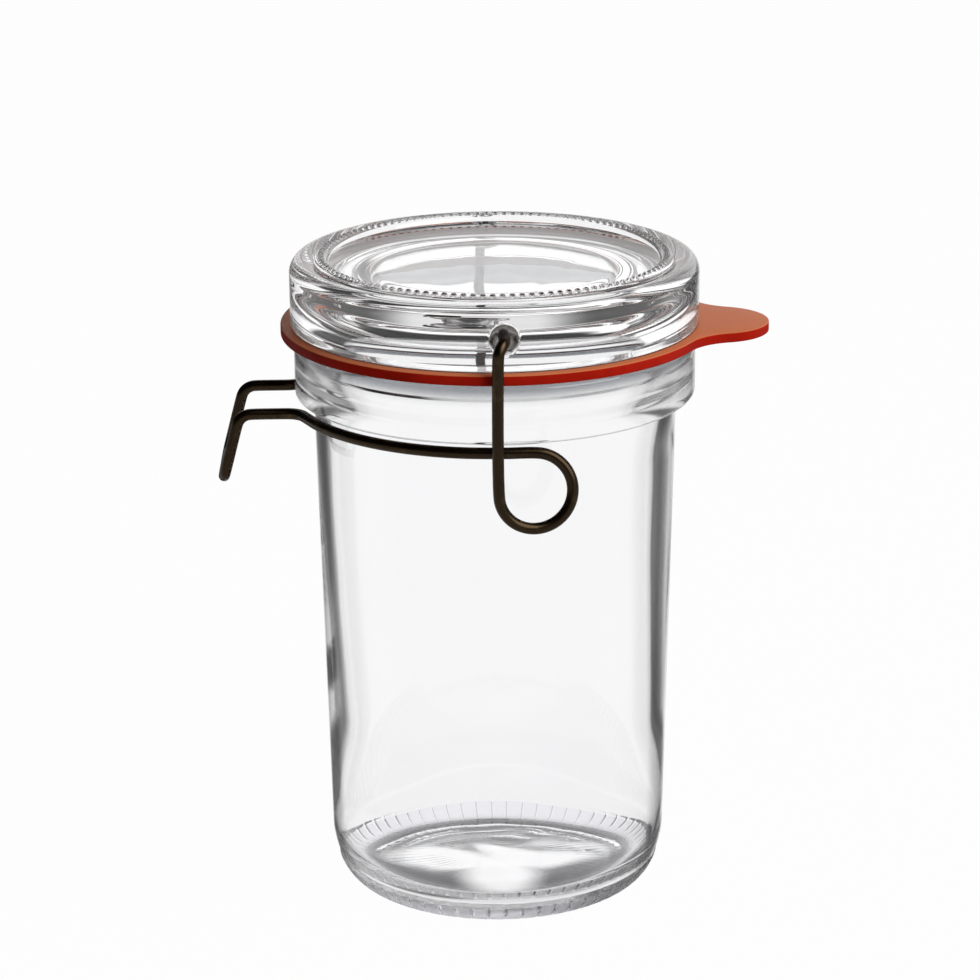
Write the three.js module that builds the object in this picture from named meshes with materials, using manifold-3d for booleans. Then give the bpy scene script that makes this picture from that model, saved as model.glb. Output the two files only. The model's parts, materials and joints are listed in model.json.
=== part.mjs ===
// A preserving jar: a straight-sided glass jar, a glass lid, a flat rubber sealing ring with a pull tab,
// and a clip bent from one spring wire that pivots in two sockets of the lid and hooks under the jar's collar.
// Millimetres, +Z up. The origin is the middle of the base. The clip's handle points to -X, the tab to +X.

import * as THREE from 'three';
import { mergeVertices } from 'three/addons/utils/BufferGeometryUtils.js';
import Module from 'manifold-3d';

const wasm = await Module();
wasm.setup();

// Driving sizes of the stack
const lidRadius = 42.5;
const jarHeight = 120.3;
const seatGap = 0.3;

// Jar, outside
const collarInset = 0.7;
const collarHeight = 12.9;
const ledgeWidth = 3.9;
const ledgeRound = 1.0;
const neckFillet = 1.2;
const bandHeight = 3.9;
const bandStep = 0.45;
const rimRound = 2.2;
const bodyTaper = 2.2;
const heelWidth = 5.9;
const heelHeight = 11.3;
const heelBand = 4.7;
const heelLedge = 0.45;
const footWidth = 2.4;
const pushUp = 2.8;

// Jar, inside. The wall thins from one height down to another.
const neckWall = 3.6;
const heelWall = 1.6;
const thinFrom = 37;
const thinTo = 10;
const floorThickness = 2.2;
const floorDome = 1.6;
const innerHeelWidth = 9;
const innerHeelHeight = 8;
const mouthFlare = 1.1;
const mouthDepth = 9;
const mouthSlope = 2;
const lipRound = 0.8;

// Sealing ring
const ringOverhang = 2.0;
const ringThickness = 2.1;
const ringLand = 0.8;
const tabLength = 12.5;
const tabRadius = 11;
const tabFillet = 12;
const tabTurn = -5;

// Lid
const lidHeight = 14;
const skirtRound = 0.8;
const shoulderRound = 3;
const shoulderDrop = 0.8;
const crestInset = 6.7;
const crestHalfWidth = 1.6;
const crestHeight = 1.7;
const panelSlope = 1.8;
const panelDepth = 2.1;
const panelThickness = 6.8;
const plugClearance = 0.8;
const plugDepth = 6;
const plugWall = 4.1;
const plugRound = 0.8;
const cavityRound = 7;
const socketHeight = 6.3;
const socketDepth = 5;
const socketFlare = 1.5;

// Wire clip
const wireDiameter = 2.35;
const pinClearance = 0.3;
const pinBend = 2.6;
const legOffset = 1.4;
const legClearance = 0.5;
const loopRadius = 7.4;
const hookDepth = 0.98;
const handleBend = 4;
const armHalfSpan = 10.9;
const handleLength = 15.2;
const handleDrop = 13.9;
const handleSlant = 15;
const cornerBend = 3;
const gripBend = 3;

// Facets and working margins: steps are in degrees of arc
const turnSegments = 60;
const curveStep = 15;
const roundStep = 30;
const domeSteps = 4;
const wallSteps = 5;
const bendStep = 15;
const wireSides = 8;
const wireSteps = 210;
const samplesPerStep = 4;
const socketSides = 20;
const socketOvercut = 1;
const weldTolerance = 1e-4;

// Heights and radii that follow from the sizes above
const ledgeZ = jarHeight - collarHeight;
const ringZ = jarHeight + seatGap;
const lidSeat = ringZ + ringThickness + seatGap;
const crestZ = lidSeat + lidHeight;
const panelZ = crestZ - panelDepth;
const pinZ = lidSeat + socketHeight;
const floorZ = pushUp + floorThickness;

const collarRadius = lidRadius - collarInset;
const neckRadius = collarRadius - ledgeWidth;
const heelRadius = neckRadius - bodyTaper;
const footOuter = heelRadius - heelWidth;
const footInner = footOuter - footWidth;
const innerNeck = neckRadius - neckWall;
const mouthRadius = innerNeck + mouthFlare;
const ringOuter = lidRadius + ringOverhang;
const ringInner = mouthRadius + ringLand;
const plugRadius = mouthRadius - plugClearance;
const cavityRadius = plugRadius - plugWall;
const crestRadius = lidRadius - crestInset;
const tabReach = ringOuter + tabLength;

const wireRadius = wireDiameter / 2;
const socketBore = wireRadius + pinClearance;
const legY = ringOuter + legClearance + wireRadius;
const hoopRadius = collarRadius - hookDepth + wireRadius;
const hoopZ = ledgeZ - seatGap - wireRadius;
const handleReach = collarRadius + handleLength;

const radians = THREE.MathUtils.degToRad;
const degrees = THREE.MathUtils.radToDeg;

// Points of an elliptical stretch of a profile, from one angle to another in degrees.
// It runs clockwise where `to` is less.
function oval(centreR, centreZ, radiusR, radiusZ, from, to, step) {
  const [start, end] = [radians(from), radians(to)];
  const curve = new THREE.EllipseCurve(centreR, centreZ, radiusR, radiusZ, start, end, to < from);
  return curve.getPoints(Math.ceil(Math.abs(to - from) / step));
}

// Points of a round stretch of a profile or an outline
function round(centreR, centreZ, radius, from, to, step = roundStep) {
  return oval(centreR, centreZ, radius, radius, from, to, step);
}

function point(r, z) {
  return new THREE.Vector2(r, z);
}

// Points of a shallow dome from its middle to its edge: a parabola that is level in the middle
function dome(rise, radius, edgeZ) {
  const topZ = edgeZ + rise;
  const curve = new THREE.QuadraticBezierCurve(point(0, topZ), point(radius / 2, topZ), point(radius, edgeZ));
  return curve.getPoints(domeSteps);
}

// A profile of radius and height turned about the Z axis
function turned(profile) {
  const geometry = new THREE.LatheGeometry(profile, turnSegments);
  geometry.rotateX(Math.PI / 2);
  return geometry;
}

// The same surface with its shared vertices merged and its collapsed triangles at the axis left out
function welded(geometry) {
  const bare = geometry.clone();
  bare.deleteAttribute('normal');
  bare.deleteAttribute('uv');
  const merged = mergeVertices(bare, weldTolerance);
  const corners = merged.index.array;
  const kept = [];
  for (let i = 0; i < corners.length; i += 3) {
    const [a, b, c] = corners.slice(i, i + 3);
    if (a !== b && b !== c && c !== a) {
      kept.push(a, b, c);
    }
  }
  merged.setIndex(kept);
  return merged;
}

function solidOf(geometry) {
  const mesh = welded(geometry);
  return new wasm.Manifold(new wasm.Mesh({
    numProp: 3,
    vertProperties: new Float32Array(mesh.attributes.position.array),
    triVerts: new Uint32Array(mesh.index.array),
  }));
}

function geometryOf(solid) {
  const mesh = solid.getMesh();
  const geometry = new THREE.BufferGeometry();
  geometry.setAttribute('position', new THREE.BufferAttribute(mesh.vertProperties, 3));
  geometry.setIndex(new THREE.BufferAttribute(mesh.triVerts, 1));
  geometry.computeVertexNormals();
  return geometry;
}

// The heel, a quarter ellipse. Above a band at the foot it steps in by a ledge, which runs out at the body.
function heelPoints() {
  const bandAngle = -degrees(Math.asin(1 - heelBand / heelHeight));
  const band = oval(footOuter, heelHeight, heelWidth, heelHeight, -90, bandAngle, curveStep);
  const above = oval(footOuter, heelHeight, heelWidth, heelHeight, bandAngle, 0, curveStep);
  for (const p of above) {
    p.x -= (heelLedge * (heelHeight - p.y)) / (heelHeight - heelBand);
  }
  return [...band, ...above];
}

// Inner radius of the straight wall at a height: the tapering outside less the wall's thickness there
function innerRadius(z) {
  const up = THREE.MathUtils.clamp((z - heelHeight) / (ledgeZ - neckFillet - heelHeight), 0, 1);
  const thick = THREE.MathUtils.smoothstep(z, thinTo, thinFrom);
  const wall = THREE.MathUtils.lerp(heelWall, neckWall, thick);
  return THREE.MathUtils.lerp(heelRadius, neckRadius, up) - wall;
}

// Outside of the jar from the middle of the underside up to the rim: domed push-up, foot, heel, body, collar
function jarOutside() {
  const bandZ = jarHeight - bandHeight;
  const rimRadius = collarRadius - bandStep;
  return [
    ...dome(pushUp, footInner, 0),
    ...heelPoints(),
    ...round(neckRadius + neckFillet, ledgeZ - neckFillet, neckFillet, 180, 90),
    ...round(collarRadius - ledgeRound, ledgeZ + ledgeRound, ledgeRound, -90, 0),
    point(collarRadius, bandZ),
    point(rimRadius, bandZ + bandStep),
    ...round(rimRadius - rimRound, jarHeight - rimRound, rimRound, 0, 90),
  ];
}

// Inside of the jar from the rim down the mouth and the wall, round the inner heel to the middle of the floor
function jarInside() {
  const mouthZ = jarHeight - mouthDepth;
  const edgeZ = floorZ - floorDome;
  const heelTopZ = edgeZ + innerHeelHeight;
  const wall = [];
  for (let i = 0; i <= wallSteps; i += 1) {
    const z = THREE.MathUtils.lerp(thinFrom, heelTopZ, i / wallSteps);
    wall.push(point(innerRadius(z), z));
  }
  const floorRadius = innerRadius(heelTopZ) - innerHeelWidth;
  const heel = oval(floorRadius, heelTopZ, innerHeelWidth, innerHeelHeight, 0, -90, curveStep);
  return [
    ...round(mouthRadius + lipRound, jarHeight - lipRound, lipRound, 90, 180),
    point(mouthRadius, mouthZ),
    point(innerNeck, mouthZ - mouthSlope),
    ...wall,
    ...heel.slice(1),
    ...dome(floorDome, floorRadius, edgeZ).reverse().slice(1),
  ];
}

function jarGeometry() {
  return turned([...jarOutside(), ...jarInside()]);
}

// Underside of the lid: the hollow under the panel, then the plug that centres the lid in the mouth
function lidUnderside() {
  const cavityZ = panelZ - panelThickness;
  const plugZ = lidSeat - plugDepth;
  return [
    point(0, cavityZ),
    ...round(cavityRadius - cavityRound, cavityZ - cavityRound, cavityRound, 90, 0, curveStep),
    ...round(cavityRadius + plugRound, plugZ + plugRound, plugRound, 180, 270),
    ...round(plugRadius - plugRound, plugZ + plugRound, plugRound, -90, 0),
    ...round(plugRadius + plugRound, lidSeat - plugRound, plugRound, 180, 90),
  ];
}

// Top of the lid: skirt, rounded shoulder, groove, raised crest and the sunk panel inside it
function lidTop() {
  const shoulderZ = crestZ - shoulderDrop;
  const grooveZ = crestZ - crestHeight;
  return [
    ...round(lidRadius - skirtRound, lidSeat + skirtRound, skirtRound, -90, 0),
    ...round(lidRadius - shoulderRound, shoulderZ - shoulderRound, shoulderRound, 0, 90, curveStep),
    ...oval(crestRadius, grooveZ, crestHalfWidth, crestHeight, 0, 180, roundStep),
    point(crestRadius - crestHalfWidth - panelSlope, panelZ),
    point(0, panelZ),
  ];
}

// A tapered blind hole for one end of the wire, wide at the skirt and narrow at its floor
function socketGeometry(side) {
  const flarePerLength = socketFlare / socketDepth;
  const mouth = socketBore + socketFlare + flarePerLength * socketOvercut;
  const length = socketDepth + socketOvercut;
  const geometry = new THREE.CylinderGeometry(mouth, socketBore, length, socketSides);
  if (side < 0) {
    geometry.rotateX(Math.PI);
  }
  geometry.translate(0, side * (lidRadius + socketOvercut - length / 2), pinZ);
  return geometry;
}

function lidGeometry() {
  let lid = solidOf(turned([...lidUnderside(), ...lidTop()]));
  for (const side of [-1, 1]) {
    lid = lid.subtract(solidOf(socketGeometry(side)));
  }
  return geometryOf(lid);
}

// Flat ring with a round tab, joined to the ring by a hollow fillet on each side
function ringGeometry() {
  const tabCentre = tabReach - tabRadius;
  const toRing = ringOuter + tabFillet;
  const toTab = tabRadius + tabFillet;
  const filletX = (tabCentre ** 2 + toRing ** 2 - toTab ** 2) / (2 * tabCentre);
  const filletY = Math.sqrt(toRing ** 2 - filletX ** 2);
  const ringAngle = degrees(Math.atan2(filletY, filletX));
  const tabAngle = degrees(Math.atan2(filletY, filletX - tabCentre));
  const turnStep = 360 / turnSegments;

  const outline = new THREE.Shape([
    ...round(0, 0, ringOuter, ringAngle, 360 - ringAngle, turnStep),
    ...round(filletX, -filletY, tabFillet, 180 - ringAngle, 180 - tabAngle, curveStep).slice(1),
    ...round(tabCentre, 0, tabRadius, -tabAngle, tabAngle, curveStep).slice(1),
    ...round(filletX, filletY, tabFillet, 180 + tabAngle, 180 + ringAngle, curveStep).slice(1, -1),
  ]);
  const hole = round(0, 0, ringInner, 360, 0, turnStep).slice(1);
  outline.holes.push(new THREE.Path(hole));

  const geometry = new THREE.ExtrudeGeometry(outline, { depth: ringThickness, steps: 1, bevelEnabled: false });
  geometry.rotateZ(radians(tabTurn));
  geometry.translate(0, 0, ringZ);
  return geometry;
}

// Points of a plane arc in space: the centre plus two crossed arms turned from one angle to another in degrees
function arc(centre, first, second, from, to) {
  const steps = Math.ceil(Math.abs(to - from) / bendStep);
  const points = [];
  for (let i = 0; i <= steps; i += 1) {
    const angle = radians(THREE.MathUtils.lerp(from, to, i / steps));
    const along = first.clone().multiplyScalar(Math.cos(angle));
    points.push(along.addScaledVector(second, Math.sin(angle)).add(centre));
  }
  return points;
}

function place(x, y, z) {
  return new THREE.Vector3(x, y, z);
}

// The end in the socket and its bend into the leg, which stands a little to the handle's side
function pinPoints() {
  const tipY = lidRadius - socketDepth + pinClearance;
  const bend = arc(place(0, legY - pinBend, pinZ - pinBend), place(0, 0, pinBend), place(0, pinBend, 0), 0, 90);
  bend.forEach((p, i) => {
    p.x = -legOffset * THREE.MathUtils.smoothstep(i, 0, bend.length - 1);
  });
  const middle = place(0, (tipY + legY - pinBend) / 2, pinZ);
  return [place(0, tipY, pinZ), middle, ...bend];
}

// The spring loop: three quarters of a turn that carries the wire inwards from the leg to the hoop
function loopPoints() {
  const centre = place(loopRadius - legOffset, 0, hoopZ - loopRadius);
  const across = place(loopRadius, 0, 0);
  const up = place(0, 0, loopRadius);
  const loop = arc(centre, across, up, 180, 450);
  loop.forEach((p, i) => {
    const inwards = THREE.MathUtils.smoothstep(i, 0, loop.length - 1);
    p.y = THREE.MathUtils.lerp(legY, hoopRadius, inwards);
  });
  return loop;
}

// The hoop under the collar and the outward bend into one arm of the handle
function hoopPoints() {
  const bendY = armHalfSpan + handleBend;
  const bendX = -Math.sqrt((hoopRadius + handleBend) ** 2 - bendY ** 2);
  const bendAngle = degrees(Math.atan2(bendY, -bendX));
  const axisZ = place(0, 0, hoopZ);
  const hoop = arc(axisZ, place(-hoopRadius, 0, 0), place(0, hoopRadius, 0), 90, bendAngle);
  const bendCentre = place(bendX, bendY, hoopZ);
  const bend = arc(bendCentre, place(handleBend, 0, 0), place(0, -handleBend, 0), bendAngle, 90);
  return [...hoop, ...bend.slice(1)];
}

// One arm of the handle, its corner, the slanting leg and the corner into the cross bar
function handlePoints() {
  const slant = radians(handleSlant);
  const down = place(-Math.sin(slant), 0, -Math.cos(slant));
  const cornerDrop = cornerBend * (1 - Math.sin(slant));
  const run = (handleDrop - cornerDrop) / Math.cos(slant);
  const cornerX = -handleReach + cornerBend * Math.cos(slant) + run * Math.sin(slant);
  const cornerCentre = place(cornerX, armHalfSpan, hoopZ - cornerBend);
  const corner = arc(cornerCentre, place(0, 0, cornerBend), place(-cornerBend, 0, 0), 0, 90 - handleSlant);
  const legEnd = corner.at(-1).clone().addScaledVector(down, run - gripBend);
  const gripCentre = legEnd.clone().add(place(0, -gripBend, 0));
  const grip = arc(gripCentre, place(0, gripBend, 0), down.clone().multiplyScalar(gripBend), 0, 90);
  return [...corner, ...grip, place(-handleReach, 0, hoopZ - handleDrop)];
}

// Centre line of the whole wire: one half from its socket to the middle of the grip, then its mirror image
function wirePath() {
  const half = [...pinPoints(), ...loopPoints(), ...hoopPoints(), ...handlePoints()];
  const mirrored = half.slice(0, -1).reverse().map((p) => place(p.x, -p.y, p.z));
  return new THREE.CatmullRomCurve3([...half, ...mirrored], false, 'centripetal');
}

// Least clear distance between stretches of the wire that are not neighbours along it
function leastWireGap(path) {
  const samples = samplesPerStep * wireSteps;
  const points = path.getSpacedPoints(samples);
  const spacing = path.getLength() / samples;
  const apart = Math.ceil((Math.PI * wireDiameter) / spacing);
  let least = Infinity;
  for (let i = 0; i < points.length; i += 1) {
    for (let j = i + apart; j < points.length; j += 1) {
      least = Math.min(least, points[i].distanceTo(points[j]));
    }
  }
  return least - wireDiameter;
}

function wireGeometry() {
  const path = wirePath();
  console.log(`least gap of the wire to itself: ${leastWireGap(path).toFixed(2)} mm`);
  const section = new THREE.Shape();
  section.absarc(0, 0, wireRadius, 0, 2 * Math.PI, false);
  return new THREE.ExtrudeGeometry(section, {
    steps: wireSteps, bevelEnabled: false, curveSegments: wireSides / 2, extrudePath: path,
  });
}

const clearGlass = { color: 0xe9efef, roughness: 0.03, metalness: 0, transparent: true, opacity: 0.35 };
const orangeRubber = { color: 0xd5552a, roughness: 0.5, metalness: 0 };
const bronzedWire = { color: 0x2c2119, roughness: 0.38, metalness: 0.8 };

function named(name, geometry, finish) {
  const mesh = new THREE.Mesh(geometry, new THREE.MeshStandardMaterial(finish));
  mesh.name = name;
  return mesh;
}

const preservingJar = new THREE.Group();
preservingJar.add(
  named('jar', welded(jarGeometry()), clearGlass),
  named('sealing_ring', ringGeometry(), orangeRubber),
  named('lid', lidGeometry(), clearGlass),
  named('wire_clip', wireGeometry(), bronzedWire),
);

export default preservingJar;
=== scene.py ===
"""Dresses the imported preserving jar: clear glass body and lid, rubber sealing ring and bronzed spring wire.

Every surface is a numpy grid of two parameters, in metres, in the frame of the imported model: +Z up, the
origin in the middle of the base, the clip's handle towards -X and the ring's tab towards +X.
"""

import json
import math

import bpy
import numpy as np
from mathutils import Matrix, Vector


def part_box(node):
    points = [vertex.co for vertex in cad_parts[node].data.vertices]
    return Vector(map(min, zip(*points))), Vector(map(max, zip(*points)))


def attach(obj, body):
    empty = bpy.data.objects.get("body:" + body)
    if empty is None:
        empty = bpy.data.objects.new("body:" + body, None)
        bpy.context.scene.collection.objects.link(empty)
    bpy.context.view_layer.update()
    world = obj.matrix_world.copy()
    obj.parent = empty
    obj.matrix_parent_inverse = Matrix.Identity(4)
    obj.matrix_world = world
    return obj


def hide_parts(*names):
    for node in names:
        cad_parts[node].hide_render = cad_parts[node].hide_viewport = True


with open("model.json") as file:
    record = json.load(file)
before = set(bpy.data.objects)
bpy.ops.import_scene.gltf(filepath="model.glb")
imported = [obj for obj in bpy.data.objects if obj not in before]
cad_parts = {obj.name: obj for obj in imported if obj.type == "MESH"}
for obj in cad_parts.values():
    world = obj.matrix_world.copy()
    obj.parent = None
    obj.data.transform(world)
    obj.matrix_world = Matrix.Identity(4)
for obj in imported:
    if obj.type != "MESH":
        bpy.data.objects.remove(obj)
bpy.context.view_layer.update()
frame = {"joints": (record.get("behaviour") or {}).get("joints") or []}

bl_info = {
    "name": "Preserving jar",
    "version": (1, 0, 0),
    "blender": (4, 5, 0),
    "location": "View3D > Sidebar > Jar",
    "description": "Builds a clip-top preserving jar in glass, rubber and wire on a pale studio floor",
    "category": "Add Mesh",
}

MM = 0.001
FULL_TURN = 2 * math.pi
SHARP_ANGLE = math.radians(38)
COLUMNS_PER_BAR = 8
BEAD_COLUMNS = (0.0, 0.12, 0.22, 0.32, 0.5, 0.68, 0.78, 0.88)
SOCKET_COLUMNS = 64
RING_COLUMNS = 720
WIRE_COLUMNS = 24
WIRE_STEP = 0.5 * MM
FLOOR_COLUMNS = 96
FLOOR_RINGS = 8
LIGHT_BOUNCES = 128

JAR_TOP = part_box("jar")[1]
LID_LOW, LID_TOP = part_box("lid")
RING_LOW, RING_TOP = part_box("sealing_ring")
WIRE_LOW, WIRE_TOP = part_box("wire_clip")
CLIP_PIVOT = next(joint["pos_m"] for joint in frame["joints"] if joint["name"] == "clip_swing")


# Properties

def number(name, description, default, **settings):
    """A number that a user may change."""
    return bpy.props.FloatProperty(name=name, description=description, default=default, **settings)


def length(name, description, millimetres):
    """A size, given in millimetres."""
    return number(name, description, millimetres * MM, unit="LENGTH", precision=5)


def turn(name, description, degrees):
    """An angle, given in degrees."""
    return number(name, description, math.radians(degrees), subtype="ANGLE")


def share(name, description, default):
    """A plain factor, such as a brightness."""
    return number(name, description, default, subtype="FACTOR", min=0.0, soft_max=1.0)


def count(name, description, default):
    """A whole number of repeats or of steps."""
    return bpy.props.IntProperty(name=name, description=description, default=default, min=1)


def colour(name, description, default):
    """A linear colour."""
    return bpy.props.FloatVectorProperty(name=name, description=description, default=default, subtype="COLOR",
                                         size=3, min=0.0, max=1.0)


class JarSizes(bpy.types.PropertyGroup):
    """Sizes of the glass body."""
    height: length("Height", "From the base to the rim", JAR_TOP.z / MM)
    collar_radius: length("Collar radius", "Outside of the collar that the wire hooks under", JAR_TOP.y / MM)
    collar_height: length("Collar height", "From the collar's ledge to the rim", 12.9)
    ledge_width: length("Ledge width", "How far the collar stands out from the neck", 3.9)
    ledge_round: length("Ledge round", "Rounding of the collar's lower edge", 1.0)
    neck_fillet: length("Neck fillet", "Hollow between the neck and the ledge", 1.2)
    band_height: length("Band height", "Height of the narrower band at the rim", 3.9)
    band_step: length("Band step", "How much narrower that band is", 0.45)
    rim_round: length("Rim round", "Rounding of the rim's outer edge", 2.2)
    body_taper: length("Body taper", "How much the radius falls from the neck to the heel", 2.2)
    heel_width: length("Heel width", "How far the heel draws in", 5.9)
    heel_height: length("Heel height", "Height of the curved heel", 11.3)
    foot_width: length("Foot width", "Width of the flat ring that the jar stands on", 2.4)
    push_up: length("Push-up", "Height of the hollow under the base", 2.8)
    bars: count("Bars", "Number of raised bars round the heel", 60)
    bar_height: length("Bar height", "Top of the bars above the base", 4.7)
    bar_step: length("Bar step", "How far the bars stand proud at their tops", 0.3)
    groove_depth: length("Groove depth", "Depth of the grooves between the bars", 0.22)
    neck_wall: length("Neck wall", "Thickness of the wall below the collar", 3.6)
    heel_wall: length("Heel wall", "Thickness of the wall above the heel", 1.6)
    thin_from: length("Thin from", "Height below which the wall thins", 37.0)
    thin_to: length("Thin to", "Height at which the wall is thinnest", 10.0)
    floor_thickness: length("Floor thickness", "Glass in the middle of the base", 2.2)
    floor_dome: length("Floor dome", "How much higher the floor is in the middle than at its edge", 1.6)
    inner_heel_width: length("Inner heel width", "Width of the curve from wall to floor inside", 9.0)
    inner_heel_height: length("Inner heel height", "Height of that curve", 8.0)
    mouth_flare: length("Mouth flare", "How much wider the mouth is than the neck", 1.1)
    mouth_depth: length("Mouth depth", "Depth of the wider mouth", 9.0)
    mouth_slope: length("Mouth slope", "Height of the slope below the mouth", 2.0)
    lip_round: length("Lip round", "Rounding of the rim's inner edge", 0.8)
    ripple: length("Ripple", "Unevenness of the blown inner wall", 0.35)
    base_ripple: length("Base ripple", "Unevenness of the pressed base", 0.12)


class LidSizes(bpy.types.PropertyGroup):
    """Sizes of the glass lid."""
    radius: length("Radius", "Outside of the lid", LID_TOP.y / MM)
    top: length("Top", "Top of the beads above the base", LID_TOP.z / MM)
    height: length("Height", "From the sealing face to the top of the beads", 14.4)
    skirt_round: length("Skirt round", "Rounding of the lower edge", 0.4)
    shoulder_round: length("Shoulder round", "Rounding of the upper edge", 3.0)
    shoulder_drop: length("Shoulder drop", "How far the shoulder lies below the beads", 0.8)
    crest_inset: length("Crest inset", "From the skirt in to the middle of the crest", 6.7)
    crest_half_width: length("Crest half width", "Half the width of the raised crest", 1.6)
    crest_height: length("Crest height", "Rise of the crest and its beads over the groove", 1.7)
    beads: count("Beads", "Number of beads on the crest", 116)
    bead_height: length("Bead height", "Rise of the beads over the crest", 0.45)
    bead_radius: length("Bead radius", "Half the width of a bead", 0.62)
    panel_slope: length("Panel slope", "Width of the slope from the crest to the panel", 1.8)
    panel_depth: length("Panel depth", "Depth of the panel below the beads", 2.1)
    panel_thickness: length("Panel thickness", "Glass in the middle of the lid", 6.8)
    plug_radius: length("Plug radius", "Outside of the plug that centres the lid", 34.6)
    plug_wall: length("Plug wall", "Thickness of the plug", 4.1)
    plug_round: length("Plug round", "Rounding of the plug's edges", 0.8)
    cavity_round: length("Cavity round", "Rounding of the hollow under the panel", 7.0)
    socket_depth: length("Socket depth", "Depth of each socket", 5.0)
    socket_bore: length("Socket bore", "Radius of a socket at its floor", 1.475)
    socket_flare: length("Socket flare", "How much wider a socket is at the skirt", 1.5)
    socket_lip: length("Socket lip", "Rounding of a socket's mouth", 0.45)
    socket_chamfer: length("Socket chamfer", "Slope between a socket's floor and its wall", 0.3)


class RingSizes(bpy.types.PropertyGroup):
    """Sizes of the rubber sealing ring."""
    outer: length("Outer radius", "Outside of the ring", 44.5)
    inner: length("Inner radius", "Inside of the ring", 36.2)
    settle: length("Settle", "How far the ring is pressed down on the jar", 0.2)
    edge_round: length("Edge round", "Rounding of the ring's edges", 0.22)
    tab_length: length("Tab length", "How far the tab reaches out from the ring", 12.48)
    tab_radius: length("Tab radius", "Roundness of the tab's end", 11.0)
    tab_fillet: length("Tab fillet", "Hollow between the tab and the ring", 12.0)
    tab_turn: turn("Tab turn", "Where the tab points, from +X", -5.0)


class WireSizes(bpy.types.PropertyGroup):
    """Sizes of the spring wire clip."""
    diameter: length("Diameter", "Thickness of the wire", 2.35)
    clearance: length("Clearance", "How far the wire stays inside its packed bounds", 0.1)
    pin_tip: length("Pin tip", "How far the wire's ends stay from the middle plane", 37.8)
    pin_bend: length("Pin bend", "Bend from the socket into the leg", 2.6)
    leg_offset: length("Leg offset", "How far the legs stand towards the handle", 1.4)
    loop_radius: length("Loop radius", "Radius of the spring loops", 7.4)
    hoop_radius: length("Hoop radius", "Radius of the hoop under the collar", 41.995)
    hoop_height: length("Hoop height", "Middle of the hoop above the base", 105.925)
    handle_bend: length("Handle bend", "Bend from the hoop into the handle's arms", 4.0)
    arm_half_span: length("Arm half span", "Half the distance between the handle's arms", 10.9)
    handle_drop: length("Handle drop", "How far the handle hangs below the hoop", 13.9)
    handle_slant: turn("Handle slant", "Lean of the handle's legs", 15.0)
    handle_skew: length("Handle skew", "How far the near arm stands out and the far arm stands in", 0.25)
    corner_bend: length("Corner bend", "Bend from an arm into a leg of the handle", 3.0)
    grip_bend: length("Grip bend", "Bend from a leg into the cross bar", 3.0)


class FinishColours(bpy.types.PropertyGroup):
    """Colours of the finishes."""
    glass: colour("Glass", "Clear glass", (0.998, 0.998, 0.998))
    glass_cool: colour("Glass, cooler", "Faint cast of the thicker glass", (0.98, 0.98, 0.99))
    # Partly real, partly painted: the bars are frosted, and this lilac grey is painted shade for the dark
    # floor seen through the heel.
    glass_frosted_shaded: colour("Glass, frosted", "Lilac grey of the frosted bars", (0.89, 0.885, 0.94))
    # Painted shade: this grey darkens the grooves between the bars, where shade falls.
    glass_groove_shade: colour("Glass, grimy", "Grey of the grooves between the bars", (0.56, 0.55, 0.6))
    # Painted shade: this dark brown grey stands in for the shade inside the lid's sockets.
    glass_socket_shade: colour("Glass, stained", "Brown grey of the lid's sockets", (0.06, 0.055, 0.05))
    # Painted shade: this grey stands in for the shade of the rubber ring over the rim.
    glass_rim_shade: colour("Glass, worn", "Grey of the rim under the ring", (0.20, 0.21, 0.23))
    rubber: colour("Rubber", "Deep red rubber of the ring's edges", (0.40, 0.012, 0.005))
    rubber_dark: colour("Rubber, darker", "Its darker mottling", (0.30, 0.008, 0.003))
    rubber_shine: colour("Rubber shine", "Orange of the light that it reflects", (1.0, 0.28, 0.14))
    # Painted sheen: this paler orange stands in for bright surroundings reflected in the ring's flat top
    # face.
    top_sheen: colour("Bloom", "Paler orange of the ring's flat faces", (0.60, 0.17, 0.07))
    # Painted shade: this dark brown red stands in for the shade under the lid's skirt.
    rubber_shade_under_lid: colour("Rubber, damp", "Dark brown red of the ring under the lid", (0.15, 0.018, 0.006))
    bronze: colour("Bronzed wire", "Dark bronze skin of the wire", (0.028, 0.019, 0.011))
    bronze_worn: colour("Worn bronze", "Skin rubbed lighter", (0.105, 0.07, 0.04))
    floor: colour("Floor", "Pale studio floor", (0.5, 0.5, 0.5))


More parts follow.
